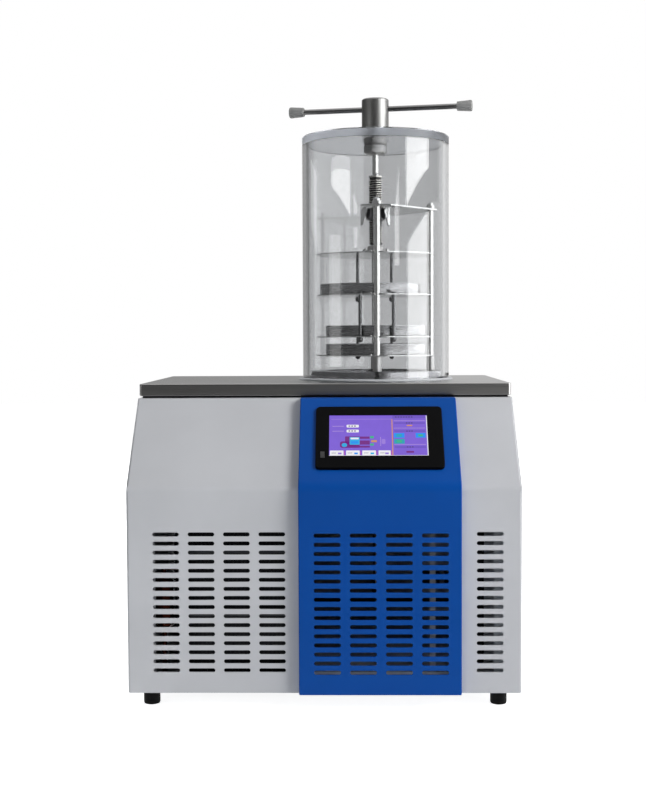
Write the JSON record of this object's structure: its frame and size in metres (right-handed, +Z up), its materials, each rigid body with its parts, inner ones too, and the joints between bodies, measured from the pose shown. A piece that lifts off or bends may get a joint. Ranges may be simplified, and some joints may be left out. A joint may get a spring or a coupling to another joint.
{
  "type": "freeze dryer",
  "caption": "Bench-top laboratory freeze dryer with a vented casing, sloping operating screen, clear round drying chamber and screw-driven stoppering rack with trays.",
  "frame": {"origin": "centre of the overall footprint on the floor, under the feet", "axes": "+Z up, the front with the operating screen faces -Y, +X to the right as seen from the front"},
  "size_m": [0.609, 0.618, 0.9955],
  "materials": {
    "white_paint": "satin powder coat",
    "blue_paint": "satin powder coat",
    "grey_paint": "satin paint",
    "worktop_steel": "brushed",
    "rubber": "matt",
    "silicone": "satin",
    "bezel_plastic": "fine grain",
    "display_glass": "lit display behind glass",
    "acrylic": "clear, polished",
    "satin_steel": "satin",
    "bright_steel": "polished",
    "bronze": "turned",
    "lever_paint": "gloss",
    "grip_plastic": "fine grain",
    "fin_aluminium": "mill finish",
    "motor_paint": "gloss",
    "copper": "drawn copper",
    "foam": "closed-cell foam"
  },
  "bodies": {
    "machine": {"base_pan": "grey_paint", "feet": "rubber", "frame": "grey_paint", "left_cover": "white_paint", "right_cover": "white_paint", "front_panel": "blue_paint", "rear_panel": "grey_paint", "top_plate": "worktop_steel", "plate_gasket": "rubber", "hmi_bezel": "bezel_plastic", "hmi_screen": "display_glass", "usb_cover": "rubber", "condenser_frame": "grey_paint", "condenser": "fin_aluminium", "fan_shroud": "grey_paint", "fan_motor": "motor_paint", "compressor": "motor_paint", "compressor_mounts": "rubber", "discharge_pipe": "copper", "suction_pipe": "copper", "filter_drier": "copper", "electrical_box": "grey_paint", "cold_trap": "satin_steel", "trap_insulation": "foam", "vacuum_port": "satin_steel", "drain_pipe": "satin_steel", "drain_valve": "bronze", "power_inlet": "bezel_plastic", "switch_frame": "bezel_plastic", "chamber_gasket": "silicone", "trap_collar": "satin_steel", "chamber_tube": "acrylic", "chamber_lid": "acrylic", "lid_gland": "satin_steel", "gland_nut": "satin_steel", "rack_bridge": "satin_steel", "bridge_nut": "bronze", "rack_posts": "satin_steel", "post_nuts": "bright_steel", "post_sleeves": "satin_steel", "shelf_lower": "satin_steel", "tray_lower": "satin_steel"},
    "fan": {"fan_rotor": "bezel_plastic"},
    "valve_lever": {"drain_lever": "lever_paint"},
    "switch_key": {"rocker_switch": "bezel_plastic"},
    "handle": {"handle_head": "satin_steel", "drive_rod": "satin_steel"},
    "cross_bar": {"handle_bar": "satin_steel", "handle_grips": "grip_plastic"},
    "press_set": {"press_plate": "satin_steel", "swivel_bearing": "satin_steel", "bearing_nuts": "bright_steel", "hanger_bolts_upper": "satin_steel"},
    "screw": {"lead_screw": "satin_steel"},
    "upper_set": {"shelf_upper": "satin_steel", "tray_upper": "satin_steel", "hanger_bolts_middle": "satin_steel"},
    "middle_set": {"shelf_middle": "satin_steel", "tray_middle": "satin_steel", "hanger_bolts_lower": "satin_steel"}
  },
  "joints": [
    {"name": "handle_turn", "type": "hinge", "parent": "machine", "child": "handle", "pos_m": [0.088, 0.059, 0.95], "axis": [0, 0, 1], "range_deg": [-2700, 0]},
    {"name": "bar_slide", "type": "slide", "parent": "handle", "child": "cross_bar", "axis": [0.9799, -0.1994, 0], "range_m": [-0.12, 0.104]},
    {"name": "press_feed", "type": "slide", "parent": "machine", "child": "press_set", "axis": [0, 0, -1], "range_m": [0, 0.03]},
    {"name": "screw_turn", "type": "hinge", "parent": "press_set", "child": "screw", "pos_m": [0.088, 0.059, 0.8], "axis": [0, 0, 1], "range_deg": [-2700, 0]},
    {"name": "upper_shelf_drop", "type": "slide", "parent": "machine", "child": "upper_set", "axis": [0, 0, -1], "range_m": [0, 0.02]},
    {"name": "middle_shelf_drop", "type": "slide", "parent": "machine", "child": "middle_set", "axis": [0, 0, -1], "range_m": [0, 0.01]},
    {"name": "fan_spin", "type": "hinge", "parent": "machine", "child": "fan", "pos_m": [-0.133, -0.168, 0.162], "axis": [0, 1, 0], "continuous": true},
    {"name": "mains_switch", "type": "hinge", "parent": "machine", "child": "switch_key", "pos_m": [0.24, 0.267, 0.105], "axis": [1, 0, 0], "range_deg": [0, 18]},
    {"name": "drain_turn", "type": "hinge", "parent": "machine", "child": "valve_lever", "pos_m": [0.088, 0.278, 0.113], "axis": [0, 0, 1], "range_deg": [0, 90]}
  ],
  "couplings": [
    {"joint": "press_feed", "follows": "handle_turn", "m_per_rad": -0.0006366},
    {"joint": "screw_turn", "follows": "handle_turn", "ratio": 1},
    {"joint": "upper_shelf_drop", "follows": "handle_turn", "m_per_rad": -0.0004244},
    {"joint": "middle_shelf_drop", "follows": "handle_turn", "m_per_rad": -0.0002122}
  ]
}
